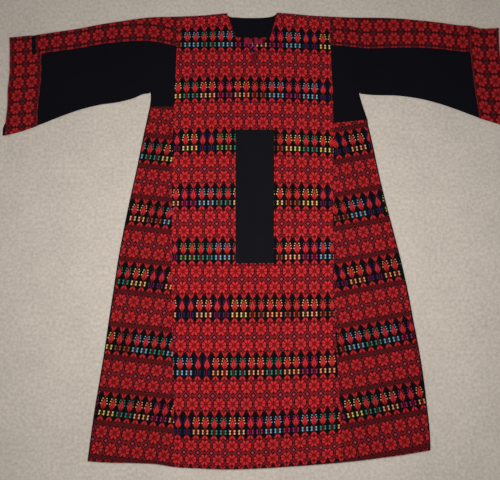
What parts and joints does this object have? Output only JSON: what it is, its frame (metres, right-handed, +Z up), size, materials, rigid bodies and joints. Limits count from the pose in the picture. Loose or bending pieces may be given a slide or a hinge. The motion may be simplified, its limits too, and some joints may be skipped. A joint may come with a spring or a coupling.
{
  "type": "palestinian thobe dress, laid flat",
  "caption": "Long cross-stitched dress laid flat: straight front and back, side gores, wide sleeves with bands and cuffs, notched neck and a plain let-in panel.",
  "frame": {"origin": "middle of the underside, where the dress lies on the floor", "axes": "+X to the right of a viewer at the hem, +Y from the hem to the neck, +Z up off the floor"},
  "size_m": [1.5732, 1.4078, 0.0065],
  "materials": {
    "red_cross_stitch": "dense cotton cross-stitch in reds on black, with bands of many-coloured thread",
    "black_cotton": "plain black woven cotton, matt"
  },
  "bodies": {
    "root": {"front_panel": "red_cross_stitch", "front_inset": "black_cotton", "back_panel": "red_cross_stitch", "front_gore_left": "red_cross_stitch", "front_gore_right": "red_cross_stitch", "back_gore_left": "red_cross_stitch", "back_gore_right": "red_cross_stitch", "sleeve_left": "black_cotton", "sleeve_right": "black_cotton", "shoulder_band_left": "red_cross_stitch", "shoulder_band_right": "red_cross_stitch", "cuff_band_left": "red_cross_stitch", "cuff_band_right": "red_cross_stitch"}
  },
  "joints": []
}
